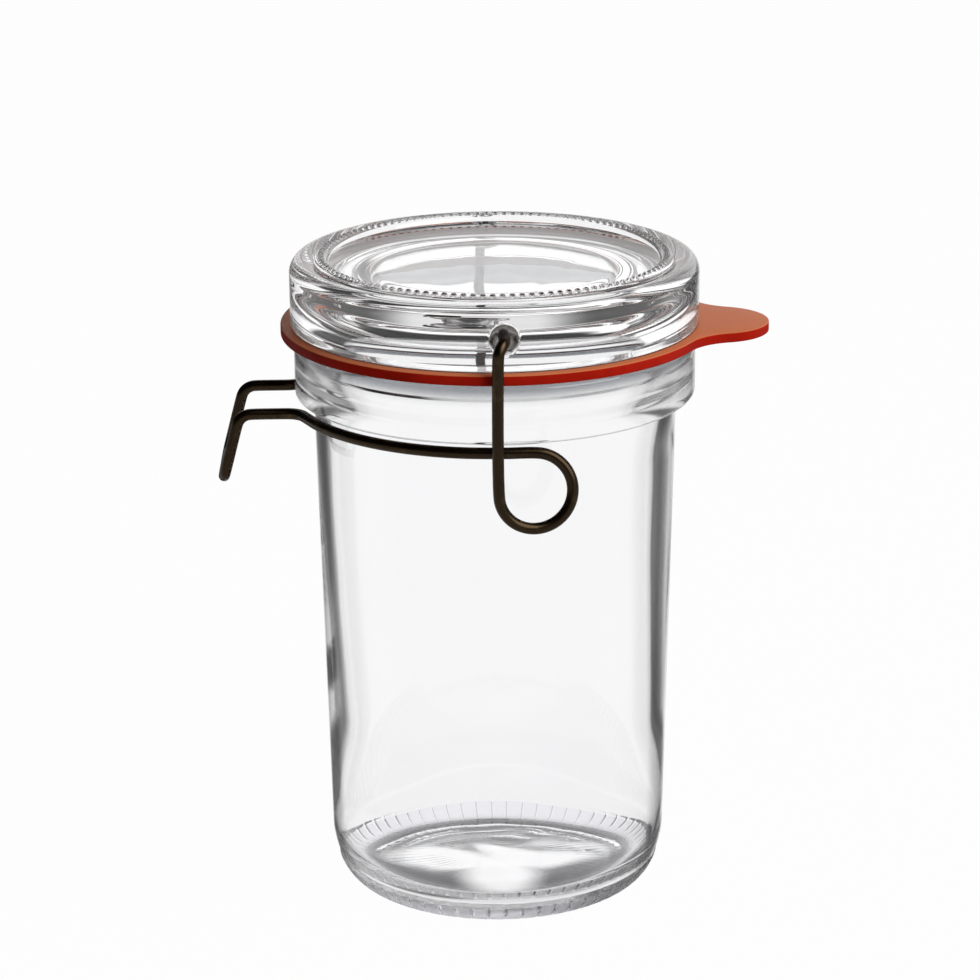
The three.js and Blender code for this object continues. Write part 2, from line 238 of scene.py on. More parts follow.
class StageSettings(bpy.types.PropertyGroup):
    """Camera, floor and light."""
    yaw: turn("Yaw", "How far the camera stands round towards the handle", 2.6)
    distance: length("Distance", "Level distance of the camera from the jar's axis", 700.0)
    camera_height: length("Camera height", "Height of the camera over the floor", 306.2)
    pitch: turn("Pitch", "How far the camera looks down", 17.53)
    pan: turn("Pan", "How far the camera looks past the axis", -0.097)
    roll: turn("Roll", "Tilt of the picture", -0.407)
    lens: number("Lens", "Focal length in millimetres for a sensor 36 mm wide", 127.6)
    floor_radius: length("Floor radius", "Radius of the round floor", 6000.0)
    floor_glow: share("Floor glow", "Share of the floor's white that no shadow takes away", 0.98)
    seen_through: share("Seen through", "Brightness of the surroundings through clear glass", 1.0)
    shade: share("Shade", "Brightness of the floor under the jar, through its base", 0.1)
    side_level: share("Side level", "Brightness of the pale walls after a reflection", 0.8)
    ceiling_level: share("Ceiling level", "Brightness of the dark ceiling", 0.02)
    flag_level: share("Flag level", "Brightness of the two dark flags behind the jar", 0.09)
    flag_width: turn("Flag width", "Half the width of each of those flags, seen from the jar", 14.0)
    flag_left: turn("Left flag", "Where the left flag stands, from +X", 115.5)
    flag_right: turn("Right flag", "Where the right flag stands, from +X", 52.0)
    dark_level: share("Dark level", "Brightness of the walls beside the pale window", 0.03)
    window_level: share("Window level", "Brightness of the pale window behind the jar", 1.22)
    front_level: share("Front level", "Brightness of the floor in front of the jar after a reflection", 0.65)
    window_place: turn("Window place", "Where the pale window behind the jar stands, from +X", 66.0)
    window_width: turn("Window width", "Half the width of that window, seen from the jar", 40.0)
    ambient: share("Ambient", "Soft light from all round", 0.08)
    key_power: number("Key power", "Power of the key light in watts", 75.0)
    key_width: length("Key width", "Width of the key light", 2000.0)
    key_height: length("Key height", "Height of the key light", 2600.0)


PROPERTY_GROUPS = {
    "jar_sizes": JarSizes,
    "jar_lid": LidSizes,
    "jar_ring": RingSizes,
    "jar_wire": WireSizes,
    "jar_colours": FinishColours,
    "jar_stage": StageSettings,
}


# Curves

def arc(centre, radii, start, end, steps):
    """Points of an elliptical arc: the centre plus the radii times the cosine and sine of an even turn."""
    angle = np.radians(np.linspace(start, end, steps + 1))
    return np.stack([centre[0] + radii[0] * np.cos(angle), centre[1] + radii[1] * np.sin(angle)], axis=1)


def rounded(centre, radius, start, end, steps=8):
    """Points of a circular arc."""
    return arc(centre, (radius, radius), start, end, steps)


def line(start, end, steps):
    """Points spread evenly between two points."""
    share_along = np.linspace(0.0, 1.0, steps + 1)[:, None]
    return np.asarray(start) * (1 - share_along) + np.asarray(end) * share_along


def joined(*stretches):
    """One run of points from several, without the points that repeat where they meet."""
    points = np.concatenate([np.atleast_2d(stretch) for stretch in stretches])
    apart = np.linalg.norm(np.diff(points, axis=0), axis=1) > 1e-7
    return points[np.concatenate([[True], apart])]


def smooth_step(low, high, value):
    """0 below low and 1 above high, with an S-shaped rise between them."""
    part = np.clip((value - low) / (high - low), 0.0, 1.0)
    return part * part * (3 - 2 * part)


def plateau(rise, fall, value):
    """1 between a rise and a fall, each a pair of limits, and 0 outside them."""
    return smooth_step(*rise, value) * (1 - smooth_step(*fall, value))


# Meshes

def grid_faces(rows, columns, closed_rows):
    """Corners of the quads of a grid whose columns close on themselves, and its rows too where asked."""
    row = np.arange(rows if closed_rows else rows - 1)[:, None] * columns
    column = np.arange(columns)[None, :]
    below = (row + columns) % (rows * columns)
    right = (column + 1) % columns
    corners = np.broadcast_arrays(row + column, row + right, below + right, below + column)
    return np.stack(corners, axis=-1).reshape(-1, 4)


def fan(first, columns, pole):
    """Triangles from a row of points, numbered from the first one, to a pole."""
    column = np.arange(columns)
    return np.stack([first + column, first + (column + 1) % columns, np.full(columns, pole)], axis=1)


def placed(name, data, matrix=Matrix.Identity(4)):
    """A new object of the scene, at a place."""
    made = bpy.data.objects.new(name, data)
    made.matrix_world = matrix
    bpy.context.scene.collection.objects.link(made)
    return made


def mesh_object(name, vertices, quads, triangles):
    """A smooth-shaded object from places and corners, with its sharp edges kept crisp."""
    corners = np.concatenate([quads.ravel(), triangles.ravel()]).astype(np.int32)
    sizes = np.concatenate([np.full(len(quads), 4), np.full(len(triangles), 3)])
    mesh = bpy.data.meshes.new(name)
    mesh.vertices.add(len(vertices))
    mesh.vertices.foreach_set("co", vertices.astype(np.float32).ravel())
    mesh.loops.add(len(corners))
    mesh.loops.foreach_set("vertex_index", corners)
    mesh.polygons.add(len(sizes))
    mesh.polygons.foreach_set("loop_start", (np.cumsum(sizes) - sizes).astype(np.int32))
    mesh.update(calc_edges=True)
    mesh.validate()
    mesh.shade_smooth()
    mesh.set_sharp_from_angle(angle=SHARP_ANGLE)
    return placed(name, mesh)


def capped_grid(name, points, first_pole, last_pole):
    """A closed surface from a grid of rows, each a closed ring, with a pole at each end."""
    rows, columns = points.shape[:2]
    total = rows * columns
    vertices = np.concatenate([points.reshape(-1, 3), [first_pole, last_pole]])
    opening = fan(0, columns, total)[:, ::-1]
    closing = fan(total - columns, columns, total + 1)
    return mesh_object(name, vertices, grid_faces(rows, columns, False), np.concatenate([opening, closing]))


def looped_grid(name, points):
    """A closed surface from a grid that closes on itself both ways, like a tyre."""
    rows, columns = points.shape[:2]
    return mesh_object(name, points.reshape(-1, 3), grid_faces(rows, columns, True), np.empty((0, 3), int))


def even_angles(columns):
    """Angles of one full turn at even steps."""
    return np.linspace(0, FULL_TURN, columns, endpoint=False)


def turned(radius, height, angle):
    """Places (r cos a, r sin a, z) of a profile carried round the Z axis."""
    return np.stack(np.broadcast_arrays(radius * np.cos(angle), radius * np.sin(angle), height), axis=-1)


def repeated_angles(repeats, offsets):
    """Angles of one full turn, with the same offsets, as shares of a repeat, in each repeat."""
    steps = np.arange(repeats)[:, None] + np.asarray(offsets)[None, :]
    return steps.ravel() * (FULL_TURN / repeats)


def finished(piece, node, material):
    """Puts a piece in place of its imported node, on that node's body, with its finish."""
    piece.data.materials.append(material)
    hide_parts(node)
    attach(piece, node)


# Glass body

def heel_ellipse(sizes, height):
    """Radius of the heel at a height: a quarter ellipse from the foot out to the body."""
    low_radius = sizes.collar_radius - sizes.ledge_width - sizes.body_taper
    fall = np.clip(1 - height / sizes.heel_height, 0.0, 1.0)
    return low_radius - sizes.heel_width * (1 - np.sqrt(1 - fall * fall))


def dome(rise, radius, low, steps):
    """Points of a shallow dome from middle to edge: the height falls with the square of the radius."""
    out = np.linspace(0, radius, steps + 1)
    return np.stack([out, low + rise * (1 - (out / radius) ** 2)], axis=1)


def body_outside(sizes):
    """Outer profile from the middle of the underside up to the rim."""
    neck = sizes.collar_radius - sizes.ledge_width
    foot_outer = neck - sizes.body_taper - sizes.heel_width
    foot_inner = foot_outer - sizes.foot_width
    ledge_z = sizes.height - sizes.collar_height
    band_z = sizes.height - sizes.band_height
    rim = sizes.collar_radius - sizes.band_step
    heel_heights = sizes.heel_height * (1 - np.cos(np.linspace(0, math.pi / 2, 34)))
    bar_top = (sizes.bar_height - 0.2 * MM, sizes.bar_height + 0.3 * MM)
    step_end = (sizes.bar_height + 1.0 * MM, sizes.heel_height)
    bar_step = sizes.bar_step * plateau(bar_top, step_end, heel_heights)
    heel = np.stack([heel_ellipse(sizes, heel_heights) - bar_step, heel_heights], axis=1)
    ledge = sizes.ledge_round
    return joined(
        dome(sizes.push_up, foot_inner, 0, 20),
        line((foot_inner, 0), (foot_outer, 0), 2),
        heel,
        line(heel[-1], (neck, ledge_z - sizes.neck_fillet), 12),
        rounded((neck + sizes.neck_fillet, ledge_z - sizes.neck_fillet), sizes.neck_fillet, 180, 90, 5),
        rounded((sizes.collar_radius - ledge, ledge_z + ledge), ledge, -90, 0),
        line((sizes.collar_radius, ledge_z + ledge), (sizes.collar_radius, band_z), 4),
        (rim, band_z + sizes.band_step),
        rounded((rim - sizes.rim_round, sizes.height - sizes.rim_round), sizes.rim_round, 0, 90),
    )


def body_inside(sizes):
    """Inner profile from the rim down the mouth and the wall to the middle of the floor."""
    outer_neck = sizes.collar_radius - sizes.ledge_width
    mouth = outer_neck - sizes.neck_wall + sizes.mouth_flare
    mouth_z = sizes.height - sizes.mouth_depth
    floor_z = sizes.push_up + sizes.floor_thickness - sizes.floor_dome
    heel_top = floor_z + sizes.inner_heel_height
    height = np.linspace(mouth_z - sizes.mouth_slope, heel_top, 40)
    ledge_z = sizes.height - sizes.collar_height
    fallen = np.clip((ledge_z - height) / (ledge_z - sizes.heel_height), 0, 1)
    outside = outer_neck - sizes.body_taper * fallen
    thick = smooth_step(sizes.thin_to, sizes.thin_from, height)
    wall = sizes.heel_wall + (sizes.neck_wall - sizes.heel_wall) * thick
    inside = np.stack([outside - wall, height], axis=1)
    heel_centre = (inside[-1, 0] - sizes.inner_heel_width, heel_top)
    return joined(
        rounded((mouth + sizes.lip_round, sizes.height - sizes.lip_round), sizes.lip_round, 90, 180),
        (mouth, mouth_z),
        inside,
        arc(heel_centre, (sizes.inner_heel_width, sizes.inner_heel_height), 0, -90, 18),
        dome(sizes.floor_dome, heel_centre[0], floor_z, 20)[::-1],
    )


def wall_ripple(angle, height):
    """Unevenness of the blown inner wall: a lean that swaps sides up the jar, and a slow wave round it."""
    lean_share, lean_middle, lean_reach = 0.85, 82 * MM, 65 * MM
    wave_share, waves_round, wave_climb = 0.2, 3, 17 * MM
    lean = -lean_share * np.cos(angle) * np.cos((height - lean_middle) * math.pi / lean_reach)
    return lean + wave_share * np.sin(waves_round * angle + height / wave_climb)


def base_swell(x, y):
    """Unevenness of the pressed base, from -1 to 1: two crossed waves that bend each other."""
    first = np.sin(x / (3.1 * MM) + 1.2 * np.sin(y / (4.7 * MM)))
    second = np.sin(y / (3.7 * MM) + 1.4 * np.sin(x / (5.3 * MM) + 0.7))
    return first * second


def body_grid(sizes):
    """The two profiles turned about Z, with grooves between the bars and swells in inner wall and base."""
    groove_foot = (0.05 * MM, 0.9 * MM)
    groove_top = (sizes.bar_height - 0.2 * MM, sizes.bar_height + 0.2 * MM)
    wall_foot, wall_top = (9 * MM, 18 * MM), (95 * MM, 108 * MM)
    base_edge = (20 * MM, 26 * MM)
    inner_base_share = -0.6
    outside = body_outside(sizes)
    profile = joined(outside, body_inside(sizes))
    radius, height = profile[:, :1], profile[:, 1:]
    angle = even_angles(COLUMNS_PER_BAR * sizes.bars)
    groove = np.arange(len(angle)) % COLUMNS_PER_BAR == 0
    is_outside = np.arange(len(profile))[:, None] < len(outside)
    on_heel = is_outside * plateau(groove_foot, groove_top, height)
    on_wall = ~is_outside * plateau(wall_foot, wall_top, height)
    grooved = radius - sizes.groove_depth * groove * on_heel
    shaped = grooved + sizes.ripple * on_wall * wall_ripple(angle, height)
    grid = turned(shaped, height, angle)
    on_base = (1 - smooth_step(*base_edge, radius)) * (height < sizes.heel_height)
    side = np.where(is_outside, 1.0, inner_base_share)
    grid[..., 2] += sizes.base_ripple * on_base * side * base_swell(grid[..., 0], grid[..., 1])
    return grid


# Glass lid

def lid_underside(sizes):
    """Lower profile from the middle of the hollow out over the plug to the sealing face."""
    seat = sizes.top - sizes.height
    cavity = sizes.plug_radius - sizes.plug_wall
    cavity_z = sizes.top - sizes.panel_depth - sizes.panel_thickness
    plug_z = LID_LOW.z
    edge = sizes.plug_round
    return joined(
        line((0, cavity_z), (cavity - sizes.cavity_round, cavity_z), 4),
        rounded((cavity - sizes.cavity_round, cavity_z - sizes.cavity_round), sizes.cavity_round, 90, 0, 14),
        rounded((cavity + edge, plug_z + edge), edge, 180, 270, 5),
        rounded((sizes.plug_radius - edge, plug_z + edge), edge, -90, 0, 5),
        rounded((sizes.plug_radius + edge, seat - edge), edge, 180, 90, 5),
    )


def lid_upper(sizes):
    """Upper profile from the skirt over the shoulder, groove and crest to the middle of the panel."""
    seat = sizes.top - sizes.height
    shoulder_z = sizes.top - sizes.shoulder_drop
    groove_z = sizes.top - sizes.crest_height
    crest = sizes.radius - sizes.crest_inset
    panel_z = sizes.top - sizes.panel_depth
    panel = crest - sizes.crest_half_width - sizes.panel_slope
    crest_rise = sizes.crest_height - sizes.bead_height
    skirt, shoulder = sizes.skirt_round, sizes.shoulder_round
    return joined(
        rounded((sizes.radius - skirt, seat + skirt), skirt, -90, 0, 6),
        line((sizes.radius, seat + skirt), (sizes.radius, shoulder_z - shoulder), 16),
        rounded((sizes.radius - shoulder, shoulder_z - shoulder), shoulder, 0, 90, 12),
        arc((crest, groove_z), (sizes.crest_half_width, crest_rise), 0, 180, 18),
        line((panel, panel_z), (0, panel_z), 6),
    )


def lid_grid(sizes):
    """The two profiles turned about Z, with a row of round beads along the crest."""
    profile = joined(lid_underside(sizes), lid_upper(sizes))
    radius, height = profile[:, :1], profile[:, 1:]
    angle = repeated_angles(sizes.beads, BEAD_COLUMNS)
    place = np.mod(angle * sizes.beads / FULL_TURN + 0.5, 1.0) - 0.5
    crest = sizes.radius - sizes.crest_inset
    along = place * (FULL_TURN * crest / sizes.beads)
    across = radius - crest
    bead = np.sqrt(np.clip(1 - (along ** 2 + across ** 2) / sizes.bead_radius ** 2, 0.0, 1.0))
    on_top = height > sizes.top - sizes.crest_height
    return turned(radius, height + sizes.bead_height * bead * on_top, angle)


def socket_cutter(sizes, side):
    """A tapered plug turned about the pivot, wide at the skirt: the shape of one socket."""
    lip, chamfer, bore = sizes.socket_lip, sizes.socket_chamfer, sizes.socket_bore
    mouth = bore + sizes.socket_flare
    floor_y = sizes.radius - sizes.socket_depth
    end_y = sizes.radius + 1.0 * MM
    profile = joined(
        line((0, floor_y), (bore - chamfer, floor_y), 2)[1:],
        (bore, floor_y + chamfer),
        rounded((mouth + lip, sizes.radius - lip), lip, 180, 90, 6),
        (mouth + lip, end_y),
    )
    angle = even_angles(SOCKET_COLUMNS)
    radius, along = profile[:, :1], profile[:, 1:]
    x = radius * np.cos(angle) * -side
    z = radius * np.sin(angle) + CLIP_PIVOT[2]
    grid = np.stack(np.broadcast_arrays(x, along * side, z), axis=-1)
    first_pole, last_pole = ((0, y * side, CLIP_PIVOT[2]) for y in (floor_y, end_y))
    return capped_grid("socket_cutter", grid, first_pole, last_pole)


def cut(piece, cutter):
    """Takes a closed cutter out of a closed piece and deletes the cutter."""
    modifier = piece.modifiers.new("socket", "BOOLEAN")
    modifier.operation = "DIFFERENCE"
    modifier.solver = "EXACT"
    modifier.object = cutter
    evaluated = piece.evaluated_get(bpy.context.evaluated_depsgraph_get())
    result = bpy.data.meshes.new_from_object(evaluated)
    piece.modifiers.clear()
    piece.data = result
    bpy.data.objects.remove(cutter)


# Rubber ring

def ring_outline(sizes, angle):
    """Distance of the ring's outer edge from the axis: the circle, the tab's end or the fillet between them.

    The tab's end is a circle about a point on the tab's middle line. The fillet is a circle that touches
    both, so each part is the nearer or the farther crossing of a ray from the axis with a circle.
    """
    tab_centre = sizes.outer + sizes.tab_length - sizes.tab_radius
    to_ring = sizes.outer + sizes.tab_fillet
    to_tab = sizes.tab_radius + sizes.tab_fillet
    fillet_x = (tab_centre ** 2 + to_ring ** 2 - to_tab ** 2) / (2 * tab_centre)
    fillet_y = math.sqrt(to_ring ** 2 - fillet_x ** 2)
    fillet_turn = math.atan2(fillet_y, fillet_x)
    touch_x = tab_centre + sizes.tab_radius * (fillet_x - tab_centre) / to_tab
    touch_y = sizes.tab_radius * fillet_y / to_tab
    touch_turn = math.atan2(touch_y, touch_x)
    aside = np.abs(np.mod(angle - sizes.tab_turn + math.pi, FULL_TURN) - math.pi)
    reach = sizes.tab_radius ** 2 - (tab_centre * np.sin(aside)) ** 2
    tab = tab_centre * np.cos(aside) + np.sqrt(np.clip(reach, 0, None))
    past = aside - fillet_turn
    hollow = sizes.tab_fillet ** 2 - (to_ring * np.sin(past)) ** 2
    fillet = to_ring * np.cos(past) - np.sqrt(np.clip(hollow, 0, None))
    return np.where(aside < touch_turn, tab, np.where(aside < fillet_turn, fillet, sizes.outer))


def ring_grid(sizes):
    """A rounded flat section carried round the axis between the ring's inner edge and its outline."""
    low, high = RING_LOW.z - sizes.settle, RING_TOP.z - sizes.settle
    edge = sizes.edge_round
    corners = (
        ((-edge, low + edge), -90),
        ((-edge, high - edge), 0),
        ((edge, high - edge), 90),
        ((edge, low + edge), 180),
    )
    section = joined(*(rounded(centre, edge, start, start + 90, 4) for centre, start in corners))
    angle = even_angles(RING_COLUMNS)
    on_outer = np.arange(len(section))[:, None] < len(section) // 2
    radius = np.where(on_outer, ring_outline(sizes, angle), sizes.inner) + section[:, :1]
    return turned(radius, section[:, 1:], angle)


# Spring wire

def space_arc(centre, first, second, start, end, steps=6):
    """Points of a plane arc in space: the centre plus two arms times the cosine and sine of an even turn."""
    angle = np.radians(np.linspace(start, end, steps + 1))[:, None]
    return np.asarray(centre) + np.cos(angle) * np.asarray(first) + np.sin(angle) * np.asarray(second)


def wire_half(sizes):
    """Guide points of half the wire, from its socket by leg, loop, hoop and arm to the middle of the grip."""
    pivot_z = CLIP_PIVOT[2]
    leg_y = WIRE_TOP.y - sizes.diameter / 2 - sizes.clearance
    bend = sizes.pin_bend
    pin = space_arc((0, leg_y - bend, pivot_z - bend), (0, 0, bend), (0, bend, 0), 0, 90)
    pin[:, 0] = -sizes.leg_offset * smooth_step(0, 1, np.linspace(0, 1, len(pin)))
    entry = line((0, sizes.pin_tip, pivot_z), pin[0], 2)

    r = sizes.loop_radius
    loop = space_arc((r - sizes.leg_offset, 0, sizes.hoop_height - r), (r, 0, 0), (0, 0, r), 180, 450, 18)
    inwards = smooth_step(0, 1, np.linspace(0, 1, len(loop)))
    loop[:, 1] = leg_y * (1 - inwards) + sizes.hoop_radius * inwards

    bend_y = sizes.arm_half_span + sizes.handle_bend
    bend_x = -math.sqrt((sizes.hoop_radius + sizes.handle_bend) ** 2 - bend_y ** 2)
    bend_turn = math.degrees(math.atan2(bend_y, -bend_x))
    hoop_z, hoop_radius, arm_bend = sizes.hoop_height, sizes.hoop_radius, sizes.handle_bend
    hoop = space_arc((0, 0, hoop_z), (-hoop_radius, 0, 0), (0, hoop_radius, 0), 90, bend_turn)
    arm = space_arc((bend_x, bend_y, hoop_z), (arm_bend, 0, 0), (0, -arm_bend, 0), bend_turn, 90)

    reach = -WIRE_LOW.x - sizes.diameter / 2 - sizes.clearance - sizes.handle_skew
    slant = sizes.handle_slant
    down = np.array((-math.sin(slant), 0, -math.cos(slant)))
    run = (sizes.handle_drop - sizes.corner_bend * (1 - math.sin(slant))) / math.cos(slant)
    corner_x = -reach + sizes.corner_bend * math.cos(slant) + run * math.sin(slant)
    corner = space_arc((corner_x, sizes.arm_half_span, sizes.hoop_height - sizes.corner_bend),
                       (0, 0, sizes.corner_bend), (-sizes.corner_bend, 0, 0), 0, 90 - math.degrees(slant))
    leg_end = corner[-1] + down * (run - sizes.grip_bend)
    grip_centre = leg_end - np.array((0, sizes.grip_bend, 0))
    grip = space_arc(grip_centre, (0, sizes.grip_bend, 0), down * sizes.grip_bend, 0, 90)
    middle = (-reach, 0, sizes.hoop_height - sizes.handle_drop)
    return joined(entry, pin, loop, hoop, arm, corner, grip, middle)


def smooth_path(guides, per_span=24):
    """A curve through guide points: on each span a cubic whose end slopes follow the neighbouring spans."""
    ends = np.concatenate([[2 * guides[0] - guides[1]], guides, [2 * guides[-1] - guides[-2]]])
    before, start, end, after = ends[:-3], ends[1:-2], ends[2:-1], ends[3:]
    gap_before = np.sqrt(np.linalg.norm(start - before, axis=1))[:, None]
    gap = np.sqrt(np.linalg.norm(end - start, axis=1))[:, None]
    gap_after = np.sqrt(np.linalg.norm(after - end, axis=1))[:, None]
    step_before, step, step_after = start - before, end - start, after - end
    slope_in = gap * (step_before / gap_before - (step_before + step) / (gap_before + gap)) + step
    slope_out = gap * (step_after / gap_after - (step + step_after) / (gap + gap_after)) + step
    t = np.linspace(0, 1, per_span, endpoint=False)[None, :, None]
    rest = 2 * start - 2 * end + slope_in + slope_out
    bulge = 3 * end - 3 * start - 2 * slope_in - slope_out
    curve = start[:, None] + slope_in[:, None] * t + bulge[:, None] * t ** 2 + rest[:, None] * t ** 3
    return np.concatenate([curve.reshape(-1, 3), guides[-1:]])


def evenly_spaced(path, spacing):
    """The same path at even steps of its length, and that length at each step."""
    along = np.concatenate([[0], np.cumsum(np.linalg.norm(np.diff(path, axis=0), axis=1))])
    steps = np.linspace(0, along[-1], int(along[-1] / spacing) + 1)
    return np.stack([np.interp(steps, along, path[:, axis]) for axis in range(3)], axis=1), steps


def path_frames(path):
    """Two crossed normals at each point that turn as little as they can along the path.

    A first pair is crossed from the world axis that the path runs least along. Each first normal is then
    carried to the next point by the least turn, its angle to the next pair is measured, and the angles are
    summed and undone.
    """
    tangent = np.gradient(path, axis=0)
    tangent /= np.linalg.norm(tangent, axis=1, keepdims=True)
    helper = np.eye(3)[np.argmin(np.abs(tangent), axis=1)]
    first = np.cross(tangent, helper)
    first /= np.linalg.norm(first, axis=1, keepdims=True)
    second = np.cross(tangent, first)
    here, there = tangent[:-1], tangent[1:]
    axis = np.cross(here, there)
    cosine = np.sum(here * there, axis=1, keepdims=True)
    carried = first[:-1] * cosine + np.cross(axis, first[:-1])
    carried += axis * np.sum(axis * first[:-1], axis=1, keepdims=True) / (1 + cosine)
    twist = np.arctan2(np.sum(carried * second[1:], axis=1), np.sum(carried * first[1:], axis=1))
    total = np.concatenate([[0], np.cumsum(twist)])[:, None]
    return first * np.cos(total) + second * np.sin(total), second * np.cos(total) - first * np.sin(total)


def wire_grid(sizes):
    """A circle carried along the wire's path, drawn in to a dome at each end."""
    skew_run = 8 * MM
    blunt_end = 0.08
    half = wire_half(sizes)
    mirrored = half[-2::-1] * np.array((1, -1, 1))
    path, along = evenly_spaced(smooth_path(np.concatenate([half, mirrored])), WIRE_STEP)
    on_handle = smooth_step(-sizes.hoop_radius, -sizes.hoop_radius - skew_run, path[:, 0])
    path[:, 0] += sizes.handle_skew * on_handle * path[:, 1] / sizes.arm_half_span
    normal, other = path_frames(path)
    radius = sizes.diameter / 2
    from_end = np.minimum(along, along[-1] - along)
    rim = np.sqrt(np.clip(1 - (1 - np.clip(from_end / radius, blunt_end, 1)) ** 2, 0, 1)) * radius
    turn_round = even_angles(WIRE_COLUMNS)[None, :, None]
    ring = np.cos(turn_round) * normal[:, None] + np.sin(turn_round) * other[:, None]
    return path[:, None] + ring * rim[:, None, None], along, path


def unwrap_wire(piece, along):
    """A UV map whose U is the length along the wire and whose V goes once round it."""
    v = np.arange(WIRE_COLUMNS + 1) / WIRE_COLUMNS
    row = np.arange(len(along) - 1)[:, None]
    column = np.arange(WIRE_COLUMNS)[None, :]
    corners = ((row, column), (row, column + 1), (row + 1, column + 1), (row + 1, column))
    quads = np.stack([np.stack(np.broadcast_arrays(along[a], v[b]), axis=-1) for a, b in corners], axis=2)
    caps = [np.tile((end, 0.0), (WIRE_COLUMNS * 3, 1)) for end in (along[0], along[-1])]
    values = np.concatenate([quads.reshape(-1, 2), *caps])
    piece.data.uv_layers.new(name="wire").data.foreach_set("uv", values.astype(np.float32).ravel())


# Shaders

def math_operator(operation, reflected=False):
    """A method that adds a Math node, with its two values swapped for an operator's reflected form."""
    def method(value, other):
        first, second = (other, value) if reflected else (value, other)
        return value.nodes.math(operation, first, second)
    return method


class Value:
    """One socket of a shader tree. Arithmetic on it adds a Math node and gives that node's result."""

    def __init__(self, nodes, socket):
        self.nodes = nodes
        self.socket = socket

    __add__ = math_operator("ADD")
    __radd__ = math_operator("ADD", reflected=True)
    __sub__ = math_operator("SUBTRACT")
    __rsub__ = math_operator("SUBTRACT", reflected=True)
    __mul__ = math_operator("MULTIPLY")
    __rmul__ = math_operator("MULTIPLY", reflected=True)
    __truediv__ = math_operator("DIVIDE")
    __gt__ = math_operator("GREATER_THAN")
    or_ = math_operator("MAXIMUM")


class Nodes:
    """The shader tree of a material or of the world."""

    def __init__(self, owner):
        owner.use_nodes = True
        self.tree = owner.node_tree
        self.tree.nodes.clear()

    def add(self, kind, settings=None, sockets=None):
        """Adds a node of a kind, sets its settings first, and then its sockets' values or links."""
        node = self.tree.nodes.new(kind)
        for name, setting in (settings or {}).items():
            setattr(node, name, setting)
        for key, value in (sockets or {}).items():
            socket = self._socket(node.inputs, key)
            if isinstance(value, Value):
                self.tree.links.new(value.socket, socket)
            else:
                socket.default_value = value
        return node

    @staticmethod
    def _socket(sockets, key):
        if isinstance(key, int):
            return sockets[key]
        return next(socket for socket in sockets if key in (socket.identifier, socket.name))

    def out(self, node, key=0):
        """An output of a node as a value."""
        return Value(self, self._socket(node.outputs, key))

    def math(self, operation, *values):
        """The result of a Math node."""
        return self.out(self.add("ShaderNodeMath", {"operation": operation}, dict(enumerate(values))))

    def length(self, *parts):
        """The length of a vector with these parts: the root of the sum of their squares."""
        return self.math("SQRT", sum((part * part for part in parts[1:]), parts[0] * parts[0]))

    def axes(self, vector):
        """The three parts of a vector."""
        split = self.add("ShaderNodeSeparateXYZ", None, {0: vector})
        return [self.out(split, axis) for axis in "XYZ"]

    def object_place(self):
        """Object coordinates."""
        return self.out(self.add("ShaderNodeTexCoord"), "Object")

    def scaled(self, vector, scale):
        """A vector stretched along its axes."""
        node = self.add("ShaderNodeVectorMath", {"operation": "MULTIPLY"}, {0: vector, 1: scale})
        return self.out(node)

    def noise(self, vector, scale, detail=3.0, roughness=0.5):
        """Cloudy noise from 0 to 1."""
        node = self.add("ShaderNodeTexNoise", None,
                        {"Vector": vector, "Scale": scale, "Detail": detail, "Roughness": roughness})
        return self.out(node, "Fac")

    def mixed(self, factor, first, second):
        """A blend of two colours."""
        node = self.add("ShaderNodeMix", {"data_type": "RGBA"},
                        {"Factor_Float": factor, "A_Color": first, "B_Color": second})
        return self.out(node, "Result_Color")

    def eased(self, value, low, high):
        """0 below low, 1 above high, eased between them."""
        node = self.add("ShaderNodeMapRange", {"interpolation_type": "SMOOTHSTEP"},
                        {"Value": value, "From Min": low, "From Max": high})
        return self.out(node, "Result")

    def bump(self, height, distance):
        """A normal bent by a height."""
        node = self.add("ShaderNodeBump", None, {"Height": height, "Distance": distance})
        return self.out(node, "Normal")

    def shaders(self, factor, first, second):
        """A blend of two shaders' nodes."""
        sockets = {0: factor, 1: self.out(first), 2: self.out(second)}
        return self.add("ShaderNodeMixShader", None, sockets)

    def surface(self, shader_node, target="ShaderNodeOutputMaterial"):
        """Ends the tree with its surface."""
        self.add(target, None, {"Surface": self.out(shader_node)})


def rgba(value):
    """A colour property with its alpha."""
    return (*value, 1.0)


def clear_glass(name, colours, marks):
    """Clear pressed glass: a faint cool cast in patches, a slow ripple and a few duller patches.

    The marks are a function of the tree and the place. It lists masks, each with its tint and its dullness.
    """
    material = bpy.data.materials.new(name)
    nodes = Nodes(material)
    place = nodes.object_place()
    clouds = nodes.noise(place, scale=28.0, detail=2.0)
    ripple = nodes.noise(nodes.scaled(place, (1.0, 1.0, 0.45)), scale=60.0, detail=2.0, roughness=0.4)
    dull = nodes.eased(nodes.noise(place, scale=140.0, detail=4.0, roughness=0.6), 0.62, 0.85)
    tint = nodes.mixed(clouds, rgba(colours.glass), rgba(colours.glass_cool))
    roughness = dull * 0.02
    for mask, mark_tint, dullness in marks(nodes, place):
        tint = nodes.mixed(mask, tint, rgba(mark_tint))
        roughness = roughness + mask * dullness
    nodes.surface(nodes.add("ShaderNodeBsdfPrincipled", None, {
        "Base Color": tint,
        "Roughness": roughness,
        "IOR": 1.5,
        "Transmission Weight": 1.0,
        "Normal": nodes.bump(ripple, distance=0.06 * MM),
    }))
    return material


